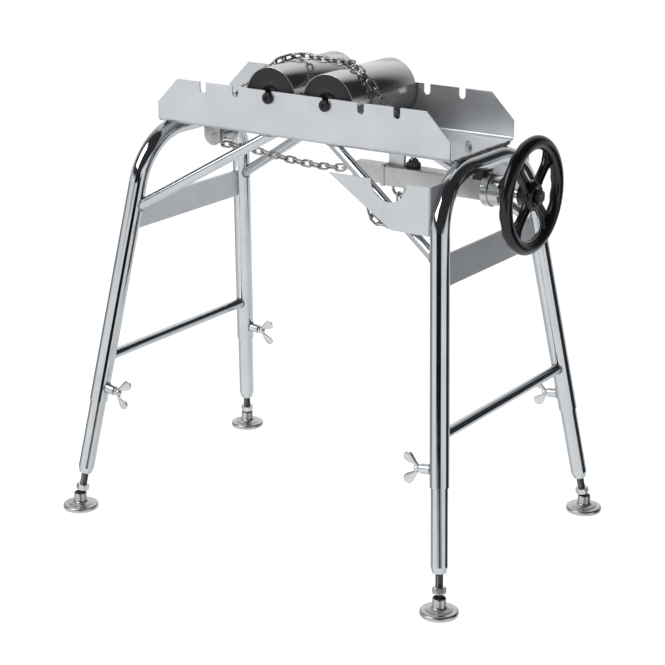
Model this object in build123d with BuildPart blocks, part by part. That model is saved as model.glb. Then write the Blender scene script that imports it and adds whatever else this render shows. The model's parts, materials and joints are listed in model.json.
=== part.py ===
from build123d import *
import math
import os

os.makedirs("parts", exist_ok=True)

# Driving dimensions of the tray, in millimetres; x runs along the tray, z is up, the floor is z = 0
tray_length = 700.0
tray_width = 245.0
tray_underside = 828.0
tray_side_height = 92.0
tray_sheet = 3.0
tray_bend_radius = 6.0
tray_end_cut = 52.0
chain_hole_size = 40.0
chain_hole_corner = 6.0
slot_positions = (68.0, 150.0, 232.0)
slot_depth = 22.0
slot_shoulder = 3.0

# Rollers and their axles
roller_diameter = 120.0
roller_wall = 3.0
roller_edge_bevel = 0.75
roller_side_gap = 5.0
axle_diameter = 15.0
axle_head_diameter = 24.0
axle_head_length = 7.0
bearing_diameter = 35.0
bearing_width = 11.0
end_disc_thickness = 16.0
end_disc_rim = 3.0
end_disc_recess_diameter = 46.0
end_disc_recess_depth = 3.0
end_disc_dish_depth = 1.5

# Leg frames: bent tube, its splay both ways, and the telescoping inner legs
leg_tube_diameter = 38.0
leg_tube_wall = 2.1
leg_bend_radius = 125.0
foot_spread_x = 454.0
foot_spread_y = 303.0
splay_x = 0.1267
splay_y = 0.1792
outer_leg_bottom = 240.0
inner_leg_bottom = 80.0
inner_leg_top = 430.0
inner_leg_wall = 2.6
inner_leg_taper = 12.0
inner_leg_neck_diameter = 27.0
leg_plug_length = 24.0

# Braces between the legs
bar_diameter = 21.3
lower_bar_height = 334.0
flat_brace_height = 60.0
flat_brace_middle = 635.0
flat_brace_thickness = 6.0
diagonal_tray_point = (86.0, 107.0, 822.0)
diagonal_leg_point = (372.0, 186.0, 650.0)

# Levelling feet
stud_diameter = 16.0
stud_length = 132.0
stud_neck_diameter = 10.0
stud_shoulder = 38.5
stud_tip_bevel = 1.6
ball_diameter = 20.0
ball_height = 20.0
lock_nut_flats = 24.0
lock_nut_thickness = 13.0
lock_nut_height = 41.0
foot_diameter = 75.0
foot_edge_height = 9.0
foot_bevel = 2.5
foot_lip = 1.0
foot_step_diameter = 52.0
foot_step_height = 13.0
socket_diameter = 27.0
socket_height = 35.0
socket_mouth_radius = 9.6
socket_mouth_taper = 8.0

# Wing screws that clamp the inner legs
wing_screw_height = 272.0
wing_screw_diameter = 10.0
bush_diameter = 20.0
bush_length = 20.0
wing_hub_diameter = 15.0
wing_hub_length = 13.0
wing_hub_gap = 2.0
wing_hub_overlap = 1.0
wing_root_drop = 3.25
wing_reach = 34.0
wing_half_span = 25.0
wing_tip_radius = 8.5
wing_tip_inset = 1.275
wing_thickness = 4.5

# Chain tensioner under the tray
outer_square = 40.0
inner_square = 35.0
inner_square_wall = 2.5
outer_square_start = 131.0
outer_square_end = 364.0
inner_square_start = 67.0
inner_square_end = 300.0
tail_notch_length = 48.0
tail_notch_width = 22.0
claw_thickness = 5.0
claw_slot_width = 6.6
end_flange_diameter = 66.0
end_flange_thickness = 5.0
housing_diameter = 60.0
housing_length = 34.0
housing_rim_diameter = 66.0
housing_rim_length = 9.0
housing_bevel = 3.0
spindle_diameter = 20.0
spindle_start = 205.0
spindle_pitch = 4.0
spindle_nut_length = 30.0
spindle_nut_start = 255.0
spindle_collar_diameter = 34.0
spindle_collar_length = 8.0
hanger_start = 140.0
hanger_length = 35.0
hanger_thickness = 8.0
saddle_length = 22.0
tray_bolt_position = 319.0
tray_bolt_diameter = 8.0
tray_bolt_reach = 15.0
tray_nut_flats = 13.0
tray_nut_thickness = 6.5

# Handwheel
wheel_diameter = 233.0
wheel_plane = 460.0
rim_thickness = 25.0
hub_diameter = 50.0
hub_length = 44.0
spoke_width = 15.0
spoke_thickness = 12.0
spoke_rib = 3.0
spoke_rib_height = 3.5
spoke_count = 4
spoke_turn = 45.0
wheel_nut_flats = 24.0
wheel_nut_thickness = 10.0

# Chain guide, ring and anchor
guide_position = -275.0
guide_height = 790.0
guide_cheek_radius = 24.0
guide_cheek_thickness = 5.0
guide_inner_width = 52.0
guide_pin_diameter = 12.0
guide_pin_head_diameter = 20.0
guide_pin_head_length = 5.0
guide_roller_radius = 14.0
guide_roller_flange_radius = 18.0
guide_roller_flange_width = 10.0
ring_position = 162.0
ring_rod_diameter = 6.0
ring_radius = 14.0
ring_leg = 7.0
anchor_position = 195.0
anchor_thickness = 4.0
anchor_length = 26.0
anchor_height = 20.0
anchor_hole_diameter = 13.0

# Gusset plates at the right frame
gusset_sheet = 3.0
gusset_face = 191.5
gusset_tip = 123.0
gusset_foot = 265.0
gusset_top = 795.0
gusset_bottom = 702.0
gusset_notch_position = 259.0
gusset_notch_radius = 40.0
gusset_bend_radius = 4.0
gusset_flange_shoulder = 750.0
gusset_flange_setback = 80.0

# Chain
link_pitch = 21.0
link_wire = 5.0
link_outer_width = 18.0
link_slack = 0.35
link_lean = 45.0
lean_links = 4
chain_sag = 5.0
route_step = 4.0
tail_lead = 1.7
tail_fall = 0.4
tail_drop = 26.0
tail_links = 11
right_roller_drift = ((28.0, -46.0), (63.0, -50.0), (90.0, -28.0), (112.0, -12.0))
left_roller_drift = ((80.0, -5.0), (98.0, -8.0), (108.0, -15.0), (116.0, -28.0), (122.0, -42.0), (127.0, -54.0))

# Clearances
running = 0.05
sliding = 0.1
seat = 0.3

# Sizes that follow from the ones above
tray_top = tray_underside + tray_side_height
tray_floor = tray_underside + tray_sheet
slot_width = axle_diameter + 2 * seat
axle_height = tray_top - slot_depth + slot_width / 2
roller_radius = roller_diameter / 2
roller_half_length = tray_width / 2 - tray_sheet - roller_side_gap
frame_top = tray_underside - leg_tube_diameter / 2
leg_radius = leg_tube_diameter / 2
inner_leg_radius = leg_radius - leg_tube_wall - sliding
slope_length = math.hypot(1.0, splay_x)
axis_length = math.sqrt(1.0 + splay_x**2 + splay_y**2)
outer_square_wall = (outer_square - inner_square) / 2 - sliding
housing_start = outer_square_end + end_flange_thickness
tensioner_height = frame_top - leg_radius - end_flange_diameter / 2
axle_head_rounding = axle_head_length / 3
gusset_flange_lean = gusset_top - leg_bend_radius / 3
link_half_width = (link_outer_width - link_wire) / 2
link_joint = (link_pitch - link_slack) / 2
chain_lift = link_half_width * math.sin(math.radians(link_lean)) + link_wire / 2 + seat
corners = {"front_left": (-1, -1), "front_right": (1, -1), "rear_left": (-1, 1), "rear_right": (1, 1)}
sides = {"left": -1, "right": 1}


def save(part, name):
    """Labels a finished piece and writes it."""
    part.label = name
    export_step(part, f"parts/{name}.step")


def leg_point(side, face, height):
    """The point of a leg's axis at a height above the floor."""
    return Vector(side * (foot_spread_x - splay_x * height), face * (foot_spread_y - splay_y * height), height)


def leg_plane(side, face, height):
    """A plane across a leg, its z along the leg's axis upwards and its x towards the middle of the stand."""
    along = Vector(-side * splay_x, -face * splay_y, 1).normalized()
    inwards = Vector(-side, 0, 0)
    inwards = inwards - along * inwards.dot(along)
    return Plane(origin=leg_point(side, face, height), x_dir=inwards.normalized(), z_dir=along)


def frame_solid(side, radius):
    """A leg frame's bent bar of a given radius, from one tube mouth over the top to the other."""
    normal = Vector(1, 0, side * splay_x)
    up = Vector(-side * splay_x, 0, 1).normalized()
    turn = math.atan2(slope_length, splay_y)
    tangent = leg_bend_radius * math.tan(turn / 2)
    half_top = foot_spread_y - splay_y * frame_top - tangent
    straight = (frame_top - outer_leg_bottom) * axis_length - tangent
    middle = leg_point(side, 0, frame_top)
    with BuildPart(mode=Mode.PRIVATE) as bent:
        with BuildSketch(Plane(origin=middle - Vector(0, half_top, 0), x_dir=(1, 0, 0), z_dir=(0, 1, 0))):
            Circle(radius)
        extrude(amount=2 * half_top)
        for face in (-1, 1):
            start = middle + Vector(0, face * half_top, 0)
            with BuildSketch(Plane(origin=start, x_dir=(1, 0, 0), z_dir=(0, face, 0))):
                Circle(radius)
            pivot = Axis(start - up * leg_bend_radius, normal * -face)
            revolve(axis=pivot, revolution_arc=math.degrees(turn))
            with BuildSketch(leg_plane(side, face, outer_leg_bottom)):
                Circle(radius)
            extrude(amount=straight)
    return bent.part


def leg_bars(side, radius):
    """Straight bars along both leg axes of a frame, for coping what is welded between them."""
    with BuildPart(mode=Mode.PRIVATE) as bars:
        for face in (-1, 1):
            with BuildSketch(leg_plane(side, face, outer_leg_bottom)):
                Circle(radius)
            extrude(amount=(frame_top - outer_leg_bottom) * axis_length)
    return bars.part


# Tray: a bent sheet channel with cut ends, six roller slots a side and two chain holes
with BuildPart() as tray:
    with BuildSketch(Plane.YZ.offset(-tray_length / 2)):
        with Locations((0, tray_underside)):
            Rectangle(tray_width, tray_side_height, align=(Align.CENTER, Align.MIN))
    extrude(amount=tray_length)
    low_edges = tray.edges().filter_by(Axis.X).group_by(Axis.Z)[0]
    fillet(low_edges, tray_bend_radius + tray_sheet)
    with BuildSketch(Plane.YZ.offset(-tray_length / 2)) as channel:
        with Locations((0, tray_floor)):
            Rectangle(tray_width - 2 * tray_sheet, tray_side_height, align=(Align.CENTER, Align.MIN))
        fillet(channel.vertices().group_by(Axis.Z)[0], tray_bend_radius)
    extrude(amount=tray_length, mode=Mode.SUBTRACT)
    with BuildSketch(Plane.XZ.offset(-tray_width / 2)):
        for end in (-1, 1):
            with BuildLine():
                corner = (end * tray_length / 2, tray_top)
                below = (end * tray_length / 2, tray_top - tray_end_cut)
                beside = (end * (tray_length / 2 - tray_end_cut), tray_top)
                Polyline(corner, below, beside, close=True)
            make_face()
    extrude(amount=tray_width, mode=Mode.SUBTRACT)
    with BuildSketch(Plane.XZ.offset(-tray_width / 2)):
        for end in (-1, 1):
            for position in slot_positions:
                with Locations((end * position, axle_height)):
                    Circle(slot_width / 2)
                    Rectangle(slot_width, slot_depth, align=(Align.CENTER, Align.MIN))
    extrude(amount=tray_width, mode=Mode.SUBTRACT)
    with BuildSketch(Plane.XY.offset(tray_underside)):
        with Locations((anchor_position, 0), (guide_position - guide_roller_radius - chain_lift, 0)):
            RectangleRounded(chain_hole_size, chain_hole_size, chain_hole_corner)
        with Locations((tray_bolt_position, 0)):
            Circle(tray_bolt_diameter / 2 + seat)
    extrude(amount=tray_sheet, mode=Mode.SUBTRACT)
save(tray.part, "tray")

# Rollers: a steel tube, two dished end discs, two bearings, and the fixed axle with round heads
for name, side in sides.items():
    roller_x = side * slot_positions[0]
    start = Plane(origin=(roller_x, -roller_half_length, axle_height), x_dir=(1, 0, 0), z_dir=(0, 1, 0))
    inside = roller_radius - roller_wall
    with BuildPart() as roller_tube:
        with BuildSketch(start):
            Circle(roller_radius)
            Circle(inside, mode=Mode.SUBTRACT)
        extrude(amount=2 * roller_half_length)
        ends = roller_tube.edges().filter_by(GeomType.CIRCLE).sort_by(SortBy.RADIUS)[-2:]
        chamfer(ends, roller_edge_bevel)
    save(roller_tube.part, f"{name}_roller_tube")
    with BuildPart() as end_discs:
        for face in (-1, 1):
            with BuildSketch(Plane.XY) as section:
                with BuildLine():
                    outside = roller_half_length
                    inner = outside - end_disc_thickness
                    recess = end_disc_recess_diameter / 2
                    Polyline(
                        (bearing_diameter / 2, inner),
                        (inside, inner),
                        (inside, outside),
                        (inside - end_disc_rim, outside),
                        (inside - 2 * end_disc_rim, outside - end_disc_dish_depth),
                        (recess + end_disc_rim, outside - end_disc_dish_depth),
                        (recess, outside - end_disc_dish_depth - end_disc_recess_depth),
                        (bearing_diameter / 2, outside - end_disc_dish_depth - end_disc_recess_depth),
                        close=True,
                    )
                make_face()
            half = revolve(axis=Axis.Y, mode=Mode.PRIVATE)
            add(half.moved(Location((roller_x, 0, axle_height), (0, 0, 0 if face > 0 else 180))))
    save(end_discs.part, f"{name}_roller_end_discs")
    with BuildPart() as bearings:
        for face in (-1, 1):
            depth = roller_half_length - end_disc_thickness
            origin = (roller_x, face * depth, axle_height)
            with BuildSketch(Plane(origin=origin, x_dir=(1, 0, 0), z_dir=(0, face, 0))):
                Circle(bearing_diameter / 2)
                Circle(axle_diameter / 2 + running, mode=Mode.SUBTRACT)
            extrude(amount=bearing_width)
    save(bearings.part, f"{name}_roller_bearings")
    with BuildPart() as axle:
        reach = tray_width / 2 + seat
        with BuildSketch(Plane(origin=(roller_x, -reach, axle_height), x_dir=(1, 0, 0), z_dir=(0, 1, 0))):
            Circle(axle_diameter / 2)
        extrude(amount=2 * reach)
        for face in (-1, 1):
            origin = (roller_x, face * reach, axle_height)
            with BuildSketch(Plane(origin=origin, x_dir=(1, 0, 0), z_dir=(0, face, 0))):
                Circle(axle_head_diameter / 2)
            extrude(amount=axle_head_length)
        rims = axle.faces().sort_by(Axis.Y)
        fillet(rims[0].edges() + rims[-1].edges(), axle_head_rounding)
    save(axle.part, f"{name}_roller_axle")

# Leg frames, their lower bars and flat braces
for name, side in sides.items():
    bore = leg_radius - leg_tube_wall
    outer = frame_solid(side, leg_radius)
    hollow = frame_solid(side, bore)
    with BuildPart() as leg_frame:
        add(outer)
        add(hollow, mode=Mode.SUBTRACT)
        for face in (-1, 1):
            across = leg_plane(side, face, wing_screw_height)
            with BuildSketch(Plane(origin=across.origin, x_dir=across.z_dir, z_dir=across.x_dir)):
                Circle(wing_screw_diameter / 2 + seat)
            extrude(amount=leg_tube_diameter, mode=Mode.SUBTRACT)
    save(leg_frame.part, f"{name}_leg_frame")

    cope = leg_bars(side, leg_radius)
    with BuildPart() as lower_bar:
        low = leg_point(side, 0, lower_bar_height)
        half_gap = foot_spread_y - splay_y * lower_bar_height
        with BuildSketch(Plane(origin=(low.X, -half_gap, low.Z), x_dir=(1, 0, 0), z_dir=(0, 1, 0))):
            Circle(bar_diameter / 2)
        extrude(amount=2 * half_gap)
        add(cope, mode=Mode.SUBTRACT)
    save(lower_bar.part, f"{name}_lower_bar")

    with BuildPart() as flat_brace:
        middle = leg_point(side, 0, flat_brace_middle)
        half_gap = foot_spread_y - splay_y * (flat_brace_middle - flat_brace_height)
        brace_plane = Plane(origin=middle, x_dir=(0, 1, 0), z_dir=(side, 0, splay_x))
        with BuildSketch(brace_plane.offset(-flat_brace_thickness / 2)):
            Rectangle(2 * half_gap, flat_brace_height)
        extrude(amount=flat_brace_thickness)
        add(cope, mode=Mode.SUBTRACT)
        keep = flat_brace.solids().sort_by(lambda piece: abs(piece.center().Y))[0]
    save(Part(keep.wrapped), f"{name}_flat_brace")

# Diagonals from the legs up to the tray
for name, (side, face) in corners.items():
    low = Vector(side * diagonal_leg_point[0], face * diagonal_leg_point[1], diagonal_leg_point[2])
    high = Vector(side * diagonal_tray_point[0], face * diagonal_tray_point[1], diagonal_tray_point[2])
    along = (high - low).normalized()
    with BuildPart() as diagonal:
        with BuildSketch(Plane(origin=low - along * leg_radius, z_dir=along)):
            Circle(bar_diameter / 2)
        extrude(amount=(high - low).length + 2 * leg_tube_diameter)
        split(bisect_by=Plane.XY.offset(tray_underside), keep=Keep.BOTTOM)
        add(leg_bars(side, leg_radius), mode=Mode.SUBTRACT)
        keep = diagonal.solids().sort_by(SortBy.VOLUME)[-1]
    save(Part(keep.wrapped), f"{name}_diagonal")

# Inner legs, levelling studs with their lock nuts, feet, clamp bushes and wing screws
for name, (side, face) in corners.items():
    with BuildPart() as inner_leg:
        with BuildSketch(leg_plane(side, face, inner_leg_bottom)):
            Circle(inner_leg_neck_diameter / 2)
        with BuildSketch(leg_plane(side, face, inner_leg_bottom).offset(inner_leg_taper)):
            Circle(inner_leg_radius)
        loft()
        with BuildSketch(leg_plane(side, face, inner_leg_bottom).offset(inner_leg_taper)):
            Circle(inner_leg_radius)
        extrude(amount=(inner_leg_top - inner_leg_bottom) * axis_length - inner_leg_taper)
        with BuildSketch(leg_plane(side, face, inner_leg_bottom).offset(leg_plug_length)):
            Circle(inner_leg_radius - inner_leg_wall)
        extrude(amount=(inner_leg_top - inner_leg_bottom) * axis_length, mode=Mode.SUBTRACT)
        with BuildSketch(leg_plane(side, face, inner_leg_bottom)):
            Circle(stud_diameter / 2 + sliding)
        extrude(amount=leg_plug_length, mode=Mode.SUBTRACT)
    save(inner_leg.part, f"{name}_inner_leg")

    ball_plane = leg_plane(side, face, ball_height)
    with BuildPart() as stud:
        with BuildSketch(ball_plane):
            Circle(stud_neck_diameter / 2)
        extrude(amount=(lock_nut_height - ball_height) * axis_length)
        with Locations(ball_plane):
            Sphere(ball_diameter / 2)
        with BuildSketch(leg_plane(side, face, stud_shoulder)):
            Circle(stud_diameter / 2)
        extrude(amount=stud_length)
        tip = stud.faces().sort_by(Axis.Z)[-1]
        chamfer(tip.edges(), stud_tip_bevel)
    with BuildPart() as lock_nut:
        with BuildSketch(leg_plane(side, face, lock_nut_height)):
            RegularPolygon(lock_nut_flats / 2, 6, major_radius=False)
            Circle(stud_diameter / 2, mode=Mode.SUBTRACT)
        extrude(amount=lock_nut_thickness)
    save(Compound(children=[stud.part, lock_nut.part]), f"{name}_stud")

    foot_centre = leg_point(side, face, ball_height)
    upright = Plane(origin=(foot_centre.X, foot_centre.Y, 0), x_dir=(1, 0, 0), z_dir=(0, -1, 0))
    with BuildPart() as foot:
        with BuildSketch(upright):
            with BuildLine():
                edge = foot_diameter / 2
                step = foot_step_diameter / 2
                socket = socket_diameter / 2
                Polyline(
                    (0, 0),
                    (edge - foot_bevel, 0),
                    (edge, foot_bevel),
                    (edge, foot_edge_height - foot_bevel),
                    (edge - foot_bevel, foot_edge_height),
                    (step + foot_bevel, foot_edge_height + foot_lip),
                    (step, foot_step_height - foot_lip),
                    (step - foot_bevel, foot_step_height),
                    (socket + foot_lip, foot_step_height + foot_lip),
                    (socket, foot_step_height + 2 * foot_lip),
                    (socket, socket_height - foot_lip),
                    (socket - foot_lip, socket_height),
                    (0, socket_height),
                    close=True,
                )
            make_face()
        revolve(axis=Axis((foot_centre.X, foot_centre.Y, 0), (0, 0, 1)))
        with Locations((foot_centre.X, foot_centre.Y, ball_height)):
            Sphere(ball_diameter / 2 + running, mode=Mode.SUBTRACT)
        mouth = math.sqrt((ball_diameter / 2) ** 2 - socket_mouth_radius**2)
        with BuildSketch(Plane.XY.offset(ball_height + mouth)):
            with Locations((foot_centre.X, foot_centre.Y)):
                Circle(socket_mouth_radius)
        extrude(amount=socket_height - ball_height, taper=-socket_mouth_taper, mode=Mode.SUBTRACT)
    save(foot.part, f"{name}_foot")

    across = leg_plane(side, face, wing_screw_height)
    outwards = Plane(origin=across.origin, x_dir=across.z_dir, z_dir=across.x_dir)
    screw_start = inner_leg_radius + seat
    hub_start = leg_radius + bush_length + wing_hub_gap
    with BuildPart() as wing_screw:
        with BuildSketch(outwards.offset(screw_start)):
            Circle(wing_screw_diameter / 2)
        extrude(amount=hub_start - screw_start + wing_hub_overlap)
        with BuildSketch(outwards.offset(hub_start)):
            Circle(wing_hub_diameter / 2)
        extrude(amount=wing_hub_length)
        blade = Plane(origin=outwards.offset(hub_start).origin, x_dir=outwards.x_dir, z_dir=outwards.y_dir)
        with BuildSketch(blade.offset(-wing_thickness / 2)):
            for turn in (-1, 1):
                with BuildLine():
                    Polyline(
                        (0, -wing_root_drop),
                        (turn * wing_half_span, -wing_reach + wing_tip_radius),
                        (turn * (wing_half_span - wing_tip_radius), -wing_reach),
                        (0, -wing_hub_length),
                        close=True,
                    )
                make_face()
                tip_x = turn * (wing_half_span - wing_tip_inset)
                with Locations((tip_x, -wing_reach + wing_tip_inset)):
                    Circle(wing_tip_radius)
        extrude(amount=wing_thickness)
    save(wing_screw.part, f"{name}_wing_screw")

with BuildPart() as clamp_bushes:
    for side, face in corners.values():
        across = leg_plane(side, face, wing_screw_height)
        outwards = Plane(origin=across.origin, x_dir=across.z_dir, z_dir=across.x_dir)
        with BuildSketch(outwards):
            Circle(bush_diameter / 2)
            Circle(wing_screw_diameter / 2 + running, mode=Mode.SUBTRACT)
        extrude(amount=leg_radius + bush_length)
    for side in sides.values():
        add(leg_bars(side, leg_radius), mode=Mode.SUBTRACT)
save(clamp_bushes.part, "clamp_bushes")

# Gusset plates: flat sheet with a round notch, its end folded in against the leg's bend
for name, face in {"front": -1, "rear": 1}.items():
    fold = tray_length / 2
    with BuildPart() as gusset:
        with BuildSketch(Plane.XZ.offset(-face * gusset_face)):
            with BuildLine():
                Polyline(
                    (gusset_tip, gusset_top),
                    (fold, gusset_top),
                    (fold, gusset_bottom),
                    (gusset_foot, gusset_bottom),
                    close=True,
                )
            make_face()
            with Locations((gusset_notch_position, gusset_top)):
                Circle(gusset_notch_radius, mode=Mode.SUBTRACT)
        extrude(amount=face * gusset_sheet)
        with BuildSketch(Plane.YZ.offset(fold - gusset_sheet)):
            with BuildLine():
                Polyline(
                    (face * gusset_face, gusset_bottom),
                    (face * (foot_spread_y - splay_y * gusset_bottom), gusset_bottom),
                    (face * (foot_spread_y - splay_y * gusset_flange_lean), gusset_flange_shoulder),
                    (face * (gusset_face - gusset_flange_setback), gusset_top),
                    (face * gusset_face, gusset_top),
                    close=True,
                )
            make_face()
        extrude(amount=gusset_sheet)
        corner_edges = gusset.edges().filter_by(Axis.Z).group_by(Axis.X)[-1]
        fillet(corner_edges.sort_by(Axis.Y)[0 if face < 0 else -1], gusset_bend_radius)
        add(frame_solid(1, leg_radius), mode=Mode.SUBTRACT)
        keep = gusset.solids().sort_by(SortBy.VOLUME)[-1]
    save(Part(keep.wrapped), f"{name}_gusset")

# Tensioner: outer and inner square tubes, their carriers, the bearing, the spindle and its nut
axis_plane = Plane(origin=(0, 0, tensioner_height), x_dir=(0, 1, 0), z_dir=(1, 0, 0))
tube_top = tensioner_height + outer_square / 2
with BuildPart() as outer_tube:
    with BuildSketch(axis_plane.offset(outer_square_start)):
        RectangleRounded(outer_square, outer_square, outer_square_wall)
        Rectangle(outer_square - 2 * outer_square_wall, outer_square - 2 * outer_square_wall, mode=Mode.SUBTRACT)
    extrude(amount=outer_square_end - outer_square_start)
save(outer_tube.part, "tensioner_outer_tube")

with BuildPart() as inner_tube:
    with BuildSketch(axis_plane.offset(inner_square_start)):
        Rectangle(inner_square, inner_square)
        Rectangle(inner_square - 2 * inner_square_wall, inner_square - 2 * inner_square_wall, mode=Mode.SUBTRACT)
    extrude(amount=inner_square_end - inner_square_start)
    with BuildSketch(Plane.XY.offset(tensioner_height - inner_square / 2)):
        with Locations((inner_square_start, 0)):
            Rectangle(tail_notch_length, tail_notch_width, align=(Align.MIN, Align.CENTER))
    extrude(amount=inner_square_wall, mode=Mode.SUBTRACT)
save(inner_tube.part, "tensioner_inner_tube")

with BuildPart() as claw:
    with BuildSketch(axis_plane.offset(inner_square_start - claw_thickness)):
        Rectangle(inner_square, inner_square)
        with Locations((0, link_outer_width / 2 + seat)):
            Rectangle(claw_slot_width, inner_square, align=(Align.CENTER, Align.MAX), mode=Mode.SUBTRACT)
    extrude(amount=claw_thickness)
save(claw.part, "chain_claw")

with BuildPart() as spindle_nut:
    with BuildSketch(axis_plane.offset(spindle_nut_start)):
        Rectangle(inner_square - 2 * inner_square_wall, inner_square - 2 * inner_square_wall)
        Circle(spindle_diameter / 2 + running, mode=Mode.SUBTRACT)
    extrude(amount=spindle_nut_length)
save(spindle_nut.part, "spindle_nut")

with BuildPart() as end_flange:
    with BuildSketch(axis_plane.offset(outer_square_end)):
        Circle(end_flange_diameter / 2)
        Circle(spindle_collar_diameter / 2 + sliding, mode=Mode.SUBTRACT)
    extrude(amount=end_flange_thickness)
save(end_flange.part, "end_flange")

with BuildPart() as housing:
    with BuildSketch(axis_plane.offset(housing_start)):
        Circle(housing_diameter / 2)
    extrude(amount=housing_length)
    with BuildSketch(axis_plane.offset(housing_start)):
        Circle(housing_rim_diameter / 2)
    extrude(amount=housing_rim_length)
    chamfer(housing.edges().filter_by(GeomType.CIRCLE).sort_by(Axis.X)[-1], housing_bevel)
    with BuildSketch(axis_plane.offset(housing_start)):
        Circle(spindle_diameter / 2 + running)
    extrude(amount=housing_length, mode=Mode.SUBTRACT)
    with BuildSketch(axis_plane.offset(housing_start)):
        Circle(spindle_collar_diameter / 2 + sliding)
    extrude(amount=spindle_collar_length + seat, mode=Mode.SUBTRACT)
save(housing.part, "bearing_housing")

wheel_back = wheel_plane - hub_length / 2
wheel_front = wheel_plane + hub_length / 2
with BuildPart() as spindle:
    with BuildSketch(axis_plane.offset(spindle_start)):
        Circle(spindle_diameter / 2)
    extrude(amount=wheel_front - wheel_nut_thickness - spindle_start)
    with BuildSketch(axis_plane.offset(housing_start)):
        Circle(spindle_collar_diameter / 2)
    extrude(amount=spindle_collar_length)
save(spindle.part, "spindle")

with BuildPart() as hanger:
    with BuildSketch(Plane.XY.offset(tube_top)):
        with Locations((hanger_start, 0)):
            Rectangle(hanger_length, hanger_thickness, align=(Align.MIN, Align.CENTER))
    extrude(amount=tray_underside - tube_top)
save(hanger.part, "tensioner_hanger")

with BuildPart() as saddle:
    top_bar = leg_point(1, 0, frame_top)
    with BuildSketch(Plane.XY.offset(tube_top)):
        with Locations((top_bar.X, 0)):
            Rectangle(saddle_length, outer_square)
    extrude(amount=frame_top - tube_top - leg_radius / 2)
    with BuildSketch(Plane(origin=(top_bar.X, -outer_square, top_bar.Z), x_dir=(1, 0, 0), z_dir=(0, 1, 0))):
        Circle(leg_radius)
    extrude(amount=2 * outer_square, mode=Mode.SUBTRACT)
save(saddle.part, "tensioner_saddle")

with BuildPart() as tray_bolt:
    with BuildSketch(Plane.XY.offset(tube_top)):
        with Locations((tray_bolt_position, 0)):
            Circle(tray_bolt_diameter / 2)
    extrude(amount=tray_floor + tray_bolt_reach - tube_top)
save(tray_bolt.part, "tray_bolt")

with BuildPart() as tray_nuts:
    for level in (0, 1):
        with BuildSketch(Plane.XY.offset(tray_floor + level * (tray_nut_thickness + seat))):
            with Locations((tray_bolt_position, 0)):
                RegularPolygon(tray_nut_flats / 2, 6, major_radius=False)
                Circle(tray_bolt_diameter / 2, mode=Mode.SUBTRACT)
        extrude(amount=tray_nut_thickness)
save(tray_nuts.part, "tray_bolt_nuts")

# Handwheel: thick rim, four ribbed spokes and a hub
with BuildPart() as wheel:
    with BuildSketch(Plane.XZ):
        with Locations((wheel_plane, tensioner_height + wheel_diameter / 2 - rim_thickness / 2)):
            Circle(rim_thickness / 2)
    revolve(axis=Axis((0, 0, tensioner_height), (1, 0, 0)))
    with BuildSketch(axis_plane.offset(wheel_back)):
        Circle(hub_diameter / 2)
    extrude(amount=hub_length - wheel_nut_thickness)
    spoke_end = wheel_diameter / 2 - rim_thickness / 2
    for index in range(spoke_count):
        angle = spoke_turn + index * 360 / spoke_count
        spoke_back = (wheel_plane - spoke_thickness / 2, 0, tensioner_height)
        turned = Plane(origin=spoke_back, x_dir=Vector(0, 1, 0).rotate(Axis.X, angle), z_dir=(1, 0, 0))
        with BuildSketch(turned):
            Rectangle(spoke_end, spoke_width, align=(Align.MIN, Align.CENTER))
        extrude(amount=spoke_thickness - spoke_rib_height)
        with BuildSketch(turned):
            for edge_side in (-1, 1):
                with Locations((0, edge_side * (spoke_width - spoke_rib) / 2)):
                    Rectangle(spoke_end, spoke_rib, align=(Align.MIN, Align.CENTER))
        extrude(amount=spoke_thickness)
    with BuildSketch(axis_plane.offset(wheel_back)):
        Circle(spindle_diameter / 2)
    extrude(amount=hub_length, mode=Mode.SUBTRACT)
save(wheel.part, "handwheel")

with BuildPart() as wheel_nut:
    with BuildSketch(axis_plane.offset(wheel_front - wheel_nut_thickness)):
        RegularPolygon(wheel_nut_flats / 2, 6, major_radius=False)
    extrude(amount=wheel_nut_thickness)
save(wheel_nut.part, "wheel_nut")

# Chain guide under the left end of the tray
with BuildPart() as guide_cheeks:
    for face in (-1, 1):
        cheek_start = face * guide_inner_width / 2
        with BuildSketch(Plane(origin=(0, cheek_start, 0), x_dir=(1, 0, 0), z_dir=(0, -1, 0))):
            with Locations((guide_position, guide_height)):
                Circle(guide_cheek_radius)
                Rectangle(2 * guide_cheek_radius, tray_underside - guide_height, align=(Align.CENTER, Align.MIN))
                Circle(guide_pin_diameter / 2, mode=Mode.SUBTRACT)
        extrude(amount=-face * guide_cheek_thickness)
save(guide_cheeks.part, "guide_cheeks")

pin_reach = guide_inner_width / 2 + guide_cheek_thickness
with BuildPart() as guide_pin:
    with BuildSketch(Plane(origin=(guide_position, -pin_reach, guide_height), x_dir=(1, 0, 0), z_dir=(0, 1, 0))):
        Circle(guide_pin_diameter / 2)
    extrude(amount=2 * pin_reach)
    for face in (-1, 1):
        head = Plane(origin=(guide_position, face * pin_reach, guide_height), x_dir=(1, 0, 0), z_dir=(0, face, 0))
        with BuildSketch(head):
            Circle(guide_pin_head_diameter / 2)
        extrude(amount=guide_pin_head_length)
save(guide_pin.part, "guide_pin")

with BuildPart() as guide_roller:
    with BuildSketch(Plane.XY):
        with BuildLine():
            half = guide_inner_width / 2 - seat
            groove = half - guide_roller_flange_width
            bore = guide_pin_diameter / 2 + running
            Polyline(
                (bore, -half),
                (guide_roller_flange_radius, -half),
                (guide_roller_radius, -groove),
                (guide_roller_radius, groove),
                (guide_roller_flange_radius, half),
                (bore, half),
                close=True,
            )
        make_face()
    spun = revolve(axis=Axis.Y, mode=Mode.PRIVATE)
    add(spun.moved(Location((guide_position, 0, guide_height))))
save(guide_roller.part, "guide_roller")

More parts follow.
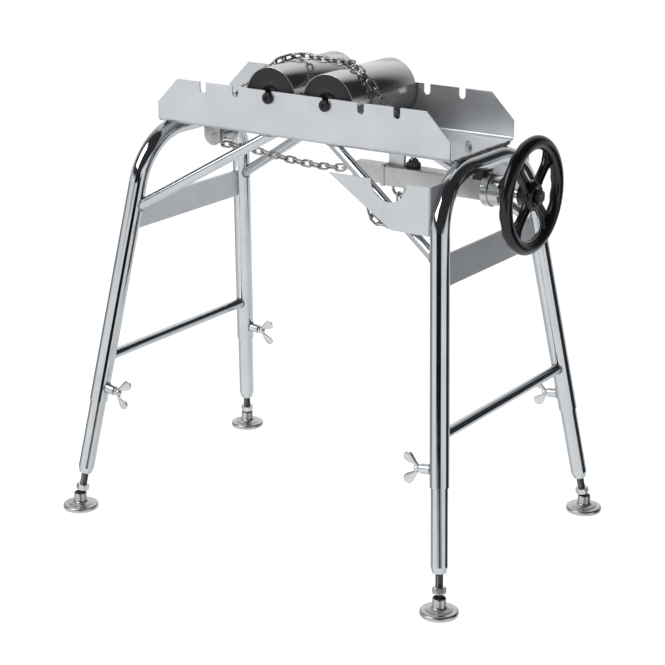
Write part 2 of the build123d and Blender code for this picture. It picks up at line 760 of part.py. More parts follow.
# Ring under the outer square tube and anchor lug on top of it
tube_bottom = tensioner_height - outer_square / 2
with BuildPart() as ring:
    with BuildLine(Plane.XZ) as ring_path:
        first = Line((ring_position - ring_radius, tube_bottom), (ring_position - ring_radius, tube_bottom - ring_leg))
        bend = TangentArc(first @ 1, (ring_position + ring_radius, tube_bottom - ring_leg), tangent=first % 1)
        Line(bend @ 1, (ring_position + ring_radius, tube_bottom))
    with BuildSketch(Plane(origin=(ring_position - ring_radius, 0, tube_bottom), z_dir=(0, 0, -1))):
        Circle(ring_rod_diameter / 2)
    sweep(path=ring_path.wires()[0])
save(ring.part, "chain_ring")

with BuildPart() as anchor:
    with BuildSketch(Plane(origin=(0, anchor_thickness / 2, 0), x_dir=(1, 0, 0), z_dir=(0, -1, 0))):
        with Locations((anchor_position, tube_top)):
            Rectangle(anchor_length, anchor_height / 2, align=(Align.CENTER, Align.MIN))
        with Locations((anchor_position, tube_top + anchor_height / 2)):
            Circle(anchor_height / 2)
            Circle(anchor_hole_diameter / 2, mode=Mode.SUBTRACT)
    extrude(amount=anchor_thickness)
save(anchor.part, "chain_anchor")


def wrap(centre, radius, stops):
    """Points of a chain route round a roller, from (angle, y) stops."""
    points = []
    for (first, first_y), (last, last_y) in zip(stops, stops[1:]):
        steps = max(1, round(abs(last - first) / route_step))
        for step in range(steps):
            share = step / steps
            angle = math.radians(first + (last - first) * share)
            across = first_y + (last_y - first_y) * share
            points.append((centre[0] + radius * math.cos(angle), across, centre[1] + radius * math.sin(angle)))
    return points


def chain_links(joints, first_index, total):
    """Links from joint to joint, every second one turned a quarter; away from the way's ends they lean."""
    pieces = []
    for offset, (start, end) in enumerate(zip(joints, joints[1:])):
        index = first_index + offset
        along = (end - start).normalized()
        level = (Vector(0, 1, 0) - along * along.Y).normalized()
        upwards = along.cross(level)
        lean = link_lean * max(0, min(1, index / lean_links, (total - 1 - index) / lean_links))
        turn = math.radians(lean + 90 * (index % 2))
        normal = upwards * math.cos(turn) + level * math.sin(turn)
        pieces.append(link.part.moved(Plane(origin=(start + end) / 2, x_dir=along, z_dir=normal).location))
    return pieces


# Chain: one link is drawn, then copies are laid from joint to joint along the chain's way
with BuildPart() as link:
    end_x = link_pitch / 2 + link_wire / 2
    flat = link_half_width * math.tan(math.pi / 8)
    bend_x = end_x - link_half_width + flat
    upper = [(0, link_half_width), (bend_x, link_half_width), (end_x, flat), (end_x, -flat), (bend_x, -link_half_width)]
    lower = [(-x, -y) for x, y in upper]
    with BuildLine() as link_path:
        Polyline(*upper, *lower, close=True)
    with BuildSketch(Plane(origin=(0, link_half_width, 0), x_dir=(0, 1, 0), z_dir=(1, 0, 0))):
        RegularPolygon(link_wire / 2, 6)
    sweep(path=link_path.wires()[0], transition=Transition.RIGHT)

roller_route = math.hypot(roller_radius + chain_lift, link_joint)
guide_route = math.hypot(guide_roller_radius + chain_lift, link_joint)
claw_joint = (inner_square_start + seat + link_joint / 2, 0, tensioner_height)
anchor_start = tube_top + anchor_height / 2 + anchor_hole_diameter / 2 - 2 * seat
drop_x = guide_position - guide_route
with BuildLine() as chain_way:
    over = [(anchor_position, 0, anchor_start), (anchor_position, 0, tray_floor)]
    over += wrap((slot_positions[0], axle_height), roller_route, right_roller_drift)
    over += wrap((-slot_positions[0], axle_height), roller_route, left_roller_drift)
    over += [(drop_x, 0, tray_floor)]
    over += wrap((guide_position, guide_height), guide_route, ((180, 0), (272, 0)))
    overhead = Polyline(*over)
    Spline(overhead @ 1, (0, 0, tensioner_height - chain_sag), claw_joint, tangents=((1, 0, 0), (1, 0, 0)))
way = chain_way.wires()[0]
link_total = 2 * math.ceil(way.length / (4 * link_joint))
joints = [way.position_at(step / link_total) for step in range(link_total + 1)]
under_count = round((claw_joint[0] - guide_position) / (2 * link_joint))
split_at = link_total - under_count
over_links = chain_links(joints[: split_at + 1], 0, link_total)
under_links = chain_links(joints[split_at:], split_at, link_total)
save(Compound(children=over_links), "chain_over_rollers")
save(Compound(children=under_links), "chain_under_tray")

ring_low = tube_bottom - ring_leg - ring_radius + ring_rod_diameter / 2 + seat
tail_left = claw_joint[0] + tail_lead * link_joint
bowl_radius = (ring_position - tail_left) / 2
with BuildLine() as tail_way:
    drop_end = (tail_left, 0, tensioner_height - tail_drop)
    start = (claw_joint[0] - 2 * seat, 0, tensioner_height)
    drop = Spline(start, drop_end, tangents=((1, 0, -tail_fall), (0, 0, -1)))
    rise = ring_low - drop_end[2]
    spare = 2 * tail_links * link_joint - drop.length - math.pi * bowl_radius - rise
    bowl_height = drop_end[2] - spare / 2
    strand = Line(drop @ 1, (tail_left, 0, bowl_height))
    bottom = (tail_left + bowl_radius, 0, bowl_height - bowl_radius)
    bowl = ThreePointArc(strand @ 1, bottom, (ring_position, 0, bowl_height))
    Line(bowl @ 1, (ring_position, 0, ring_low))
tail = tail_way.wires()[0]
tail_joints = [tail.position_at(step / tail_links) for step in range(tail_links + 1)]
save(Compound(children=chain_links(tail_joints, 0, 1)), "chain_tail")
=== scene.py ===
import json
import math
import random

import bmesh
import bpy
import numpy as np
from mathutils import Matrix, Vector


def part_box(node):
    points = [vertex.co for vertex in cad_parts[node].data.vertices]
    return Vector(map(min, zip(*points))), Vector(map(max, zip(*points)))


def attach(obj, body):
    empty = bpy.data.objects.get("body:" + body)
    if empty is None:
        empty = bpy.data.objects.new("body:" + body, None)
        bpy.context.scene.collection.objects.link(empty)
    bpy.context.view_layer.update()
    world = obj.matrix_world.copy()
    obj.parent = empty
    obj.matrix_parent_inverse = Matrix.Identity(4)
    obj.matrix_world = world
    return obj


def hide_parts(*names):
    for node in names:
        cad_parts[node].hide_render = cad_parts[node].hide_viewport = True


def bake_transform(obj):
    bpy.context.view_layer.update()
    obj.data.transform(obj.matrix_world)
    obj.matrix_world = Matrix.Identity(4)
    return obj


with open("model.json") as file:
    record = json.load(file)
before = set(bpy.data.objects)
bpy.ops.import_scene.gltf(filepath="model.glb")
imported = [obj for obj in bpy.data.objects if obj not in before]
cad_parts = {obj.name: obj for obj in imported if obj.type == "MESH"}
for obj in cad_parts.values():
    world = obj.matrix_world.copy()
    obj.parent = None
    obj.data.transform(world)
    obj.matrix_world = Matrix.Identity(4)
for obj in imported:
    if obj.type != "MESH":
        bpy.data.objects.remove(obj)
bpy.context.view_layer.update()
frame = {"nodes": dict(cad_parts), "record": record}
rng = random.Random(7)
MM = 0.001


# Materials
class Nodes:
    """Builds one procedural material, node by node."""

    def __init__(self, name):
        self.material = bpy.data.materials.new(name)
        self.material.use_nodes = True
        self.tree = self.material.node_tree
        self.shader = self.tree.nodes["Principled BSDF"]
        self.coordinates = self.tree.nodes.new("ShaderNodeTexCoord").outputs["Object"]

    def link(self, source, target):
        self.tree.links.new(source, target)

    def noise(self, scale, detail, rough=0.55, stretch=None):
        """A noise over the object's own coordinates, which stretch scales axis by axis."""
        texture = self.tree.nodes.new("ShaderNodeTexNoise")
        texture.inputs["Scale"].default_value = scale
        texture.inputs["Detail"].default_value = detail
        texture.inputs["Roughness"].default_value = rough
        source = self.coordinates
        if stretch:
            mapping = self.tree.nodes.new("ShaderNodeMapping")
            mapping.inputs["Scale"].default_value = stretch
            self.link(source, mapping.inputs["Vector"])
            source = mapping.outputs["Vector"]
        self.link(source, texture.inputs["Vector"])
        return texture.outputs["Fac"]

    def spread(self, source, low, high, start=0.3, end=0.7):
        """A value between start and end, spread over low to high."""
        ranged = self.tree.nodes.new("ShaderNodeMapRange")
        ranged.inputs["From Min"].default_value = start
        ranged.inputs["From Max"].default_value = end
        ranged.inputs["To Min"].default_value = low
        ranged.inputs["To Max"].default_value = high
        self.link(source, ranged.inputs["Value"])
        return ranged.outputs["Result"]

    def blend(self, factor, first, second):
        """A mix of two colours, each a tuple or a socket."""
        mix = self.tree.nodes.new("ShaderNodeMix")
        mix.data_type = "RGBA"
        self.link(factor, mix.inputs["Factor"])
        for socket, value in ((mix.inputs[6], first), (mix.inputs[7], second)):
            if isinstance(value, tuple):
                socket.default_value = (*value, 1.0)
            else:
                self.link(value, socket)
        return mix.outputs[2]

    def bump(self, height, strength, distance):
        bump = self.tree.nodes.new("ShaderNodeBump")
        bump.inputs["Strength"].default_value = strength
        bump.inputs["Distance"].default_value = distance
        self.link(height, bump.inputs["Height"])
        return bump.outputs["Normal"]

    def put(self, socket, value):
        """Sets an input of the shader, or links a socket to it."""
        target = self.shader.inputs[socket]
        if isinstance(value, tuple):
            target.default_value = (*value, 1.0)
        elif isinstance(value, (int, float)):
            target.default_value = value
        else:
            self.link(value, target)


# The dark tone's share in the grain, the patches of gloss to a cloud, and the reliefs in metres
GRAIN_SHARE = 0.28
GLOSS_PATCHES = 2.3
MARKS_SCALE = 60.0
METAL_RELIEF, PLASTIC_RELIEF = 0.0004, 0.0003


def metal(name, pale, dark, rough, grain=(1, 1, 1), grain_scale=900.0, bump=0.15, cloud=14.0, metallic=1.0):
    """A metal with cloudy tone, a directed grain and patchy gloss."""
    m = Nodes(name)
    clouds = m.noise(cloud, detail=5.0)
    fine = m.noise(grain_scale, detail=3.0, rough=0.6, stretch=grain)
    tone = m.blend(m.spread(clouds, 0.0, 1.0), dark, pale)
    m.put("Base Color", m.blend(m.spread(fine, 0.0, GRAIN_SHARE), tone, dark))
    m.put("Metallic", metallic)
    m.put("Roughness", m.spread(m.noise(cloud * GLOSS_PATCHES, detail=4.0), rough[0], rough[1]))
    m.put("Normal", m.bump(fine, bump, METAL_RELIEF))
    return m.material


def plastic(name, pale, dark, rough, grain_scale=1600.0, bump=0.1):
    """A moulded plastic with a fine pebbled skin and faint handling marks."""
    m = Nodes(name)
    fine = m.noise(grain_scale, detail=2.0)
    marks = m.noise(MARKS_SCALE, detail=6.0, rough=0.7)
    m.put("Base Color", m.blend(m.spread(marks, 0.0, 1.0, start=0.35, end=0.75), dark, pale))
    m.put("Roughness", m.spread(marks, rough[0], rough[1]))
    m.put("Normal", m.bump(fine, bump, PLASTIC_RELIEF))
    return m.material


# For each material slot: pale and dark tone, roughness from and to, then a metal's grain, scale and relief
LOOKS = {
    "sheet": metal(
        "satin_sheet", (0.67, 0.685, 0.70), (0.60, 0.615, 0.63), (0.28, 0.38), (0.05, 1, 1), 1400.0, 0.10,
        metallic=0.78,
    ),
    "tube": metal(
        "bright_tube", (0.68, 0.70, 0.72), (0.60, 0.62, 0.64), (0.05, 0.11), (1, 1, 0.04), 700.0, 0.04
    ),
    "bar": metal(
        "bright_bar", (0.66, 0.68, 0.70), (0.58, 0.60, 0.62), (0.06, 0.13), (1, 1, 1), 700.0, 0.04
    ),
    "inner_tube": metal(
        "zinc_tube", (0.70, 0.72, 0.735), (0.62, 0.64, 0.655), (0.11, 0.18), (1, 1, 0.04), 900.0, 0.05
    ),
    "roller": metal(
        "turned_roller", (0.64, 0.625, 0.605), (0.58, 0.565, 0.545), (0.14, 0.18), (1, 0.02, 1), 420.0, 0.02,
        cloud=9.0,
    ),
    "disc": plastic("black_disc", (0.012, 0.012, 0.014), (0.007, 0.007, 0.008), (0.46, 0.62)),
    "bearing": metal("ground_bearing", (0.12, 0.12, 0.125), (0.06, 0.06, 0.062), (0.25, 0.4)),
    "axle": metal(
        "black_axle", (0.030, 0.030, 0.031), (0.014, 0.014, 0.015), (0.25, 0.42), metallic=0.4
    ),
    "foot": metal(
        "grey_foot", (0.66, 0.66, 0.655), (0.54, 0.54, 0.535), (0.26, 0.38), (1, 1, 1), 500.0, 0.08
    ),
    "stud": metal("dark_stud", (0.26, 0.26, 0.27), (0.13, 0.13, 0.135), (0.25, 0.45)),
    "fastener": metal(
        "zinc_fastener", (0.78, 0.79, 0.80), (0.66, 0.67, 0.68), (0.22, 0.34), bump=0.05
    ),
    "square_tube": metal(
        "zinc_square", (0.60, 0.59, 0.575), (0.42, 0.41, 0.40), (0.24, 0.38), (0.05, 1, 1), 900.0, 0.12
    ),
    "housing": metal(
        "turned_housing", (0.66, 0.66, 0.66), (0.48, 0.48, 0.475), (0.14, 0.24), (1, 0.06, 0.06), 1500.0, 0.2
    ),
    "turned": metal("turned_steel", (0.50, 0.50, 0.50), (0.38, 0.38, 0.385), (0.15, 0.28)),
    "wheel": plastic("gloss_black", (0.006, 0.006, 0.007), (0.003, 0.003, 0.004), (0.16, 0.24), 700.0, 0.03),
    # The saddle's near-black tone is painted shade: the part is coloured as dark as the shadow it sits in
    "saddle": metal("painted_shade_saddle", (0.07, 0.07, 0.07), (0.04, 0.04, 0.04), (0.4, 0.6), metallic=0.5),
    "chain": metal("worn_chain", (0.60, 0.59, 0.575), (0.34, 0.335, 0.325), (0.18, 0.32), bump=0.15),
}
WELD = metal(
    "weld_bead", (0.50, 0.49, 0.48), (0.20, 0.19, 0.185), (0.20, 0.42), grain_scale=500.0, bump=0.25,
    cloud=160.0,
)

slots = {part["node"]: part["material_slot"] for part in frame["record"]["subparts"]}
SPECIAL_LOOKS = {"chain_ring": "chain"}
for name, node in frame["nodes"].items():
    node.data.materials.clear()
    node.data.materials.append(LOOKS[SPECIAL_LOOKS.get(name, slots[name])])


# Shape helpers: a shape is its points and its faces
def new_piece(name, shape, material, body):
    """A smooth mesh piece with a material slot, which rides on a body if one is named."""
    verts, faces = shape
    mesh = bpy.data.meshes.new(name)
    mesh.from_pydata([tuple(v) for v in verts], [], [tuple(f) for f in faces])
    mesh.materials.append(material)
    mesh.validate()
    mesh.update()
    mesh.shade_smooth()
    item = bpy.data.objects.new(name, mesh)
    bpy.context.scene.collection.objects.link(item)
    if body:
        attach(item, body)
    return item


def grid_faces(rows, columns, close_rows=False):
    """Quads between rows of points, each row a ring of columns points."""
    faces = []
    for row in range(rows if close_rows else rows - 1):
        here, after = row * columns, (row + 1) % rows * columns
        for column in range(columns):
            beside = (column + 1) % columns
            faces.append((here + column, here + beside, after + beside, after + column))
    return faces


def capped_faces(rows, columns):
    """The quads of open rows, and a face on the first and the last row."""
    ends = [tuple(reversed(range(columns))), tuple(range((rows - 1) * columns, rows * columns))]
    return grid_faces(rows, columns) + ends


def tube_along(points, radii, sides, closed):
    """A tube whose centre follows points, with a radius for each."""
    points = [Vector(p) for p in points]
    count = len(points)
    tangents = []
    for i in range(count):
        before = points[(i - 1) % count] if closed or i > 0 else points[i]
        after = points[(i + 1) % count] if closed or i < count - 1 else points[i]
        tangents.append((after - before).normalized())
    side = tangents[0].orthogonal().normalized()
    verts = []
    for point, tangent, radius in zip(points, tangents, radii):
        side = (side - tangent * side.dot(tangent)).normalized()
        other = tangent.cross(side)
        for k in range(sides):
            angle = 2 * math.pi * k / sides
            verts.append(point + (side * math.cos(angle) + other * math.sin(angle)) * radius)
    return verts, grid_faces(count, sides, close_rows=True) if closed else capped_faces(count, sides)


def lathe(profile, origin, axis, steps, start, closed=False):
    """A profile of (radius, height) spun about an axis; a closed one is a ring with a bore."""
    axis = Vector(axis).normalized()
    origin = Vector(origin)
    side = Vector(start).normalized()
    other = axis.cross(side)
    verts = []
    for radius, height in profile:
        for k in range(steps):
            angle = 2 * math.pi * k / steps
            out = side * math.cos(angle) + other * math.sin(angle)
            verts.append(origin + axis * height + out * radius)
    rows = len(profile)
    return verts, grid_faces(rows, steps, close_rows=True) if closed else capped_faces(rows, steps)


def soften(item, width, segments, angle):
    """Rounds a piece's edges that are sharper than angle, for good."""
    shape = bmesh.new()
    shape.from_mesh(item.data)
    bmesh.ops.recalc_face_normals(shape, faces=shape.faces)
    limit = math.radians(angle)
    sharp = [e for e in shape.edges if len(e.link_faces) == 2 and e.calc_face_angle(0) > limit]
    bmesh.ops.bevel(
        shape, geom=sharp, offset=width, segments=segments, profile=0.6, affect="EDGES", clamp_overlap=True
    )
    shape.to_mesh(item.data)
    shape.free()
    item.data.shade_smooth()


def joined(*shapes):
    """Several shapes as one."""
    verts, faces = [], []
    for some_verts, some_faces in shapes:
        start = len(verts)
        verts += list(some_verts)
        faces += [tuple(start + i for i in f) for f in some_faces]
    return verts, faces


def stand_on(shape, origin, along, side):
    """Moves a shape drawn about Z at the origin onto an axis."""
    verts, faces = shape
    other = along.cross(side)
    return [origin + side * v[0] + other * v[1] + along * v[2] for v in verts], faces


def loose_parts(node):
    """The separate solids of a CAD node, each as an array of its points."""
    mesh = frame["nodes"][node].data
    shape = bmesh.new()
    shape.from_mesh(mesh)
    bmesh.ops.remove_doubles(shape, verts=shape.verts, dist=1e-6)
    shape.verts.ensure_lookup_table()
    seen, parts = set(), []
    for vert in shape.verts:
        if vert.index in seen:
            continue
        stack, part = [vert], []
        seen.add(vert.index)
        while stack:
            here = stack.pop()
            part.append(tuple(here.co))
            for edge in here.link_edges:
                other = edge.other_vert(here)
                if other.index not in seen:
                    seen.add(other.index)
                    stack.append(other)
        parts.append(np.array(part))
    shape.free()
    return parts


# Chain
LINK_WIRE = 2.42 * MM
LINK_HALF_WIDTH = 6.5 * MM
LINK_END = 13.0 * MM
LINK_WELD_SWELL = 0.10
LINK_ROLL = 4


def link_shape():
    """One welded link of round wire, with the swollen weld on one long side."""
    path, radii = [], []
    straight = LINK_END - LINK_HALF_WIDTH
    for side in (1, -1):
        for step in range(7):
            x = side * straight * (-1 + 2 * step / 6)
            path.append((x, -side * LINK_HALF_WIDTH, 0))
            radii.append(LINK_WIRE * (1.0 + (LINK_WELD_SWELL if side == 1 and step == 3 else 0)))
        for step in range(1, 8):
            angle = math.pi * step / 8
            x = side * (straight + LINK_HALF_WIDTH * math.sin(angle))
            path.append((x, -side * LINK_HALF_WIDTH * math.cos(angle), 0))
            radii.append(LINK_WIRE)
    return tube_along(path, radii, 12, closed=True)


def chain_piece(name, node, body):
    """Round-wire links in the places of the CAD node's links, each rolled a little about its length."""
    verts, faces = [], []
    link_verts, link_faces = link_shape()
    for part in loose_parts(node):
        centre = part.mean(0)
        _, _, rows = np.linalg.svd(part - centre, full_matrices=False)
        turn = Matrix([Vector(r) for r in rows]).transposed()
        if turn.determinant() < 0:
            turn = turn @ Matrix.Diagonal((1, 1, -1))
        roll = Matrix.Rotation(math.radians(rng.uniform(-LINK_ROLL, LINK_ROLL)), 3, "X")
        start = len(verts)
        verts += [Vector(centre) + turn @ (roll @ v) for v in link_verts]
        faces += [tuple(start + i for i in f) for f in link_faces]
    item = new_piece(name, (verts, faces), LOOKS["chain"], body)
    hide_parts(node)
    return item


chain_piece("round_links_over", "chain_over_rollers", "stand")
under = chain_piece("round_links_under", "chain_under_tray", None)
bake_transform(under)
tail = chain_piece("round_links_tail", "chain_tail", None)
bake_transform(tail)

# Legs and feet: a leg's axis starts at FOOT_X, FOOT_Y on the floor and leans in by SPLAY as it rises
SPLAY_X, SPLAY_Y = 0.1267, 0.1792
FOOT_X, FOOT_Y = 0.454, 0.303
LEG_SLOPE = Vector((SPLAY_X, SPLAY_Y, 1)).length
TUBE_RADIUS = 0.019
CORNERS = {"front_left": (-1, -1), "front_right": (1, -1), "rear_left": (-1, 1), "rear_right": (1, 1)}


def leg_point(side, face, height):
    return Vector((side * (FOOT_X - SPLAY_X * height), face * (FOOT_Y - SPLAY_Y * height), height))


def leg_axes(side, face):
    """(along the leg upwards, towards the middle of the stand, across both)."""
    along = Vector((-side * SPLAY_X, -face * SPLAY_Y, 1)).normalized()
    inwards = Vector((-side, 0, 0))
    inwards = (inwards - along * inwards.dot(along)).normalized()
    return along, inwards, along.cross(inwards)


def thread_rows(radius, pitch, depth, start, length):
    """A screw thread about Z from start upwards, which fades at both ends."""
    steps, per_turn, fade_rows = 16, 4, 6
    rows = int(length / pitch * per_turn)
    verts = []
    for row in range(rows + 1):
        height = start + length * row / rows
        fade = min(1.0, row / fade_rows, (rows - row) / fade_rows)
        for k in range(steps):
            turn = k / steps
            phase = (height / pitch - turn) % 1.0
            size = radius - depth * fade * abs(2 * phase - 1)
            angle = 2 * math.pi * turn
            verts.append(Vector((size * math.cos(angle), size * math.sin(angle), height)))
    return verts, capped_faces(rows + 1, steps)


def nut_rows(flats, start, thickness, bore):
    """A chamfered hexagon nut about Z, its bottom at start."""
    steps = 48
    corner = flats / 2 / math.cos(math.pi / 6)
    # (share of the thickness, share of the corners' radius that is left)
    levels = [(0, 0.90), (0.10, 0.955), (0.22, 1), (0.78, 1), (0.90, 0.955), (1, 0.90)]
    ring = [(bore, 0)] + [(None, i) for i in range(len(levels))] + [(bore, 1)]
    verts = []
    for radius, level in ring:
        for k in range(steps):
            angle = 2 * math.pi * k / steps
            if radius is None:
                share, limit = levels[level]
                within = (angle + math.pi / 6) % (math.pi / 3) - math.pi / 6
                size = min(flats / 2 / math.cos(within), corner * limit)
                height = start + thickness * share
            else:
                size, height = radius, start + thickness * level
            verts.append(Vector((size * math.cos(angle), size * math.sin(angle), height)))
    return verts, grid_faces(len(ring), steps, close_rows=True)


# Heights above the floor of the stud's ball, its shoulder and its lock nut
BALL_HEIGHT, SHOULDER_HEIGHT, LOCK_NUT_HEIGHT = 0.020, 0.0385, 0.041
BALL_RADIUS, NECK_RADIUS = 0.00995, 0.0049
STUD_RADIUS, STUD_PITCH, THREAD_DEPTH, THREAD_LENGTH = 0.00795, 0.002, 0.0011, 0.131
NUT_FLATS = 0.024
LOCK_NUT_THICKNESS, LOCK_NUT_BORE = 0.0128, 0.0070
shoulder = (SHOULDER_HEIGHT - BALL_HEIGHT) * LEG_SLOPE
ball = [(0.0002, -0.0099)]
ball += [(BALL_RADIUS * math.cos(a), BALL_RADIUS * math.sin(a)) for a in np.radians(np.arange(-78, 61, 12))]
neck = [(NECK_RADIUS, 0.0105), (NECK_RADIUS, shoulder), (0.0068, shoulder + 0.0004)]
lock_nut_start = (LOCK_NUT_HEIGHT - BALL_HEIGHT) * LEG_SLOPE
lock_nut = nut_rows(NUT_FLATS, lock_nut_start, LOCK_NUT_THICKNESS, LOCK_NUT_BORE)
stud = joined(
    lathe(ball + neck, (0, 0, 0), (0, 0, 1), 24, (1, 0, 0)),
    thread_rows(STUD_RADIUS, STUD_PITCH, THREAD_DEPTH, shoulder, THREAD_LENGTH),
    lock_nut,
)
# The foot's sole, rim, groove, dome and socket, as (radius, height)
FOOT_PROFILE = [
    (0.0003, 0), (0.0352, 0), (0.0368, 0.0010), (0.0375, 0.0030), (0.0375, 0.0072), (0.0366, 0.0090),
    (0.0335, 0.0101), (0.0302, 0.0108), (0.0288, 0.0100), (0.0274, 0.0110), (0.0240, 0.0127),
    (0.0195, 0.0140), (0.0160, 0.0152), (0.0142, 0.0172), (0.0135, 0.0200), (0.0134, 0.0330),
    (0.0131, 0.0346), (0.0126, 0.0350), (0.0121, 0.0346), (0.0114, 0.0300), (0.0106, 0.0240),
    (0.0102, 0.0190), (0.0088, 0.0130), (0.0060, 0.0100), (0.0003, 0.0094),
]
# The wing screw's shaft and shouldered hub, as (radius, distance from the leg's axis)
WING_SCREW_HEIGHT = 0.272
HUB = TUBE_RADIUS + 0.022
SCREW_PROFILE = [
    (0.0003, 0.0172), (0.0046, 0.0174), (0.0049, 0.0180), (0.0049, HUB - 0.0005), (0.0070, HUB),
    (0.0074, HUB + 0.0008), (0.0074, HUB + 0.0030), (0.0062, HUB + 0.0042), (0.0062, HUB + 0.0075),
    (0.0070, HUB + 0.0095), (0.0058, HUB + 0.0125), (0.0030, HUB + 0.0140), (0.0003, HUB + 0.0143),
]
# A wing: how far out and up it starts and goes, its curve and the way its section faces,
# its half thickness in mm with what that loses to the tip, and its half widths in mm by the share of the way
WING_ROOT_OUT, WING_ROOT_UP = 0.0045, 0.0025
WING_OUT, WING_UP, WING_CURVE, WING_RUN = 0.0310, 0.0245, 0.9, 0.030
WING_HALF_THICKNESS, WING_THINNING = 2.5, 0.9
WING_WIDTHS = [
    (0, 3.6), (0.15, 4.0), (0.3, 5.2), (0.45, 7.4), (0.6, 9.4), (0.74, 10.3), (0.85, 9.8), (0.93, 7.8),
    (0.98, 4.6), (1, 0.4),
]
WING_SIDES = 14


def wing(start, along, inwards, across, turn):
    """One of a screw's two cast wings, which lean away from each other."""
    wide = (inwards * WING_RUN + along * turn * WING_UP).normalized().cross(across).normalized()
    verts = []
    for share, half_width in WING_WIDTHS:
        lift = turn * (WING_ROOT_UP + WING_UP * share ** WING_CURVE)
        middle = start + inwards * (HUB + (WING_ROOT_OUT + WING_OUT * share)) + along * lift
        half_thickness = WING_HALF_THICKNESS - WING_THINNING * share
        for k in range(WING_SIDES):
            angle = 2 * math.pi * k / WING_SIDES
            to_edge = wide * (half_width * MM * math.cos(angle))
            verts.append(middle + to_edge + across * (half_thickness * MM * math.sin(angle)))
    return verts, capped_faces(len(WING_WIDTHS), WING_SIDES)


for corner, (side, face) in CORNERS.items():
    along, inwards, across = leg_axes(side, face)
    shape = stand_on(stud, leg_point(side, face, BALL_HEIGHT), along, inwards)
    item = new_piece(corner + "_threaded_stud", shape, LOOKS["stud"], corner + "_stud")
    item.data.materials.append(LOOKS["fastener"])
    for polygon in item.data.polygons[len(item.data.polygons) - len(lock_nut[1]):]:
        polygon.material_index = 1
    soften(item, width=0.0001, segments=1, angle=50)
    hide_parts(corner + "_stud")

    low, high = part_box(corner + "_foot")
    centre = ((low[0] + high[0]) / 2, (low[1] + high[1]) / 2, 0)
    shape = lathe(FOOT_PROFILE, centre, (0, 0, 1), 96, (1, 0, 0))
    item = new_piece(corner + "_domed_foot", shape, LOOKS["foot"], corner + "_foot")
    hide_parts(corner + "_foot")

    start = leg_point(side, face, WING_SCREW_HEIGHT)
    wings = [wing(start, along, inwards, across, turn) for turn in (-1, 1)]
    shape = joined(lathe(SCREW_PROFILE, start, inwards, 28, across), *wings)
    item = new_piece(
        corner + "_cast_wing_screw", shape, LOOKS["fastener"], corner + "_wing_screw"
    )
    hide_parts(corner + "_wing_screw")

# Roller axles: each half with a round cap that has a small hole in it
AXLE_HEIGHT = 0.9058
AXLE_PROFILE = [
    (0.0073, 0), (0.0073, 0.1228), (0.0112, 0.1229), (0.0118, 0.1236), (0.0119, 0.1262), (0.0113, 0.1282),
    (0.0096, 0.1292), (0.0050, 0.12965), (0.0042, 0.1290), (0.0040, 0.1262), (0.0003, 0.1260),
]
ROLLERS = {"left": -0.068, "right": 0.068}
for name, x in ROLLERS.items():
    halves = [lathe(AXLE_PROFILE, (x, 0, AXLE_HEIGHT), (0, face, 0), 40, (1, 0, 0)) for face in (-1, 1)]
    item = new_piece(name + "_axle_with_caps", joined(*halves), LOOKS["axle"], "stand")
    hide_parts(name + "_roller_axle")

# Rollers: a thin-lipped tube with a dished black disc in each end
ROLLER_RADIUS, ROLLER_HALF = 0.060, 0.1145
TUBE_BORE, LIP_BORE, LIP_END = 0.0570, ROLLER_RADIUS - 0.0014, 0.0970
SKIN_EDGE = 0.0005
DISC_PROFILE = [
    (0.0176, 0.0985), (0.0584, 0.0985), (0.0584, 0.1138), (0.0578, 0.1144), (0.0560, 0.1144),
    (0.0540, 0.1132), (0.0280, 0.1130), (0.0262, 0.1141), (0.0240, 0.1141), (0.0232, 0.1132),
    (0.0230, 0.1116), (0.0176, 0.1115),
]
for name, x in ROLLERS.items():
    skin = [(ROLLER_RADIUS - SKIN_EDGE, -ROLLER_HALF), (ROLLER_RADIUS, SKIN_EDGE - ROLLER_HALF)]
    skin += [(radius, -height) for radius, height in reversed(skin)]
    lip = [(LIP_BORE, ROLLER_HALF), (LIP_BORE, LIP_END), (TUBE_BORE, LIP_END)]
    lip += [(radius, -height) for radius, height in reversed(lip)]
    shape = lathe(skin + lip, (x, 0, AXLE_HEIGHT), (0, 1, 0), 128, (1, 0, 0), closed=True)
    item = new_piece(name + "_thin_lipped_tube", shape, LOOKS["roller"], name + "_roller")
    soften(item, width=0.0002, segments=1, angle=40)
    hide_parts(name + "_roller_tube")
    place = (x, 0, AXLE_HEIGHT)
    ends = [lathe(DISC_PROFILE, place, (0, face, 0), 96, (1, 0, 0), closed=True) for face in (-1, 1)]
    item = new_piece(name + "_dished_discs", joined(*ends), LOOKS["disc"], name + "_roller")
    soften(item, width=0.0002, segments=1, angle=40)
    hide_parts(name + "_roller_end_discs")

# Handwheel
WHEEL_X, WHEEL_Z = 0.460, 0.757
WHEEL_OUTER = 0.1152
RIM_DEPTH, RIM_WIDTH = 0.0284, 0.0255
SCALLOPS, SCALLOP_DEPTH, INNER_FLAT = 18, 0.16, 0.10
SPOKE_COUNT, SPOKE_ROWS = 4, 22
SPOKE_START, SPOKE_END = 0.018, 0.093
SPOKE_BACK = 0.001
# A spoke's half width in mm, and by how much more it flares from a radius on, over a length
SPOKE_HALF_WIDTH = 9.2
RIM_FLARE, RIM_FLARE_START, RIM_FLARE_LENGTH = 17.0, 0.060, 0.033
HUB_FLARE, HUB_FLARE_START, HUB_FLARE_LENGTH = 6.0, 0.044, 0.026
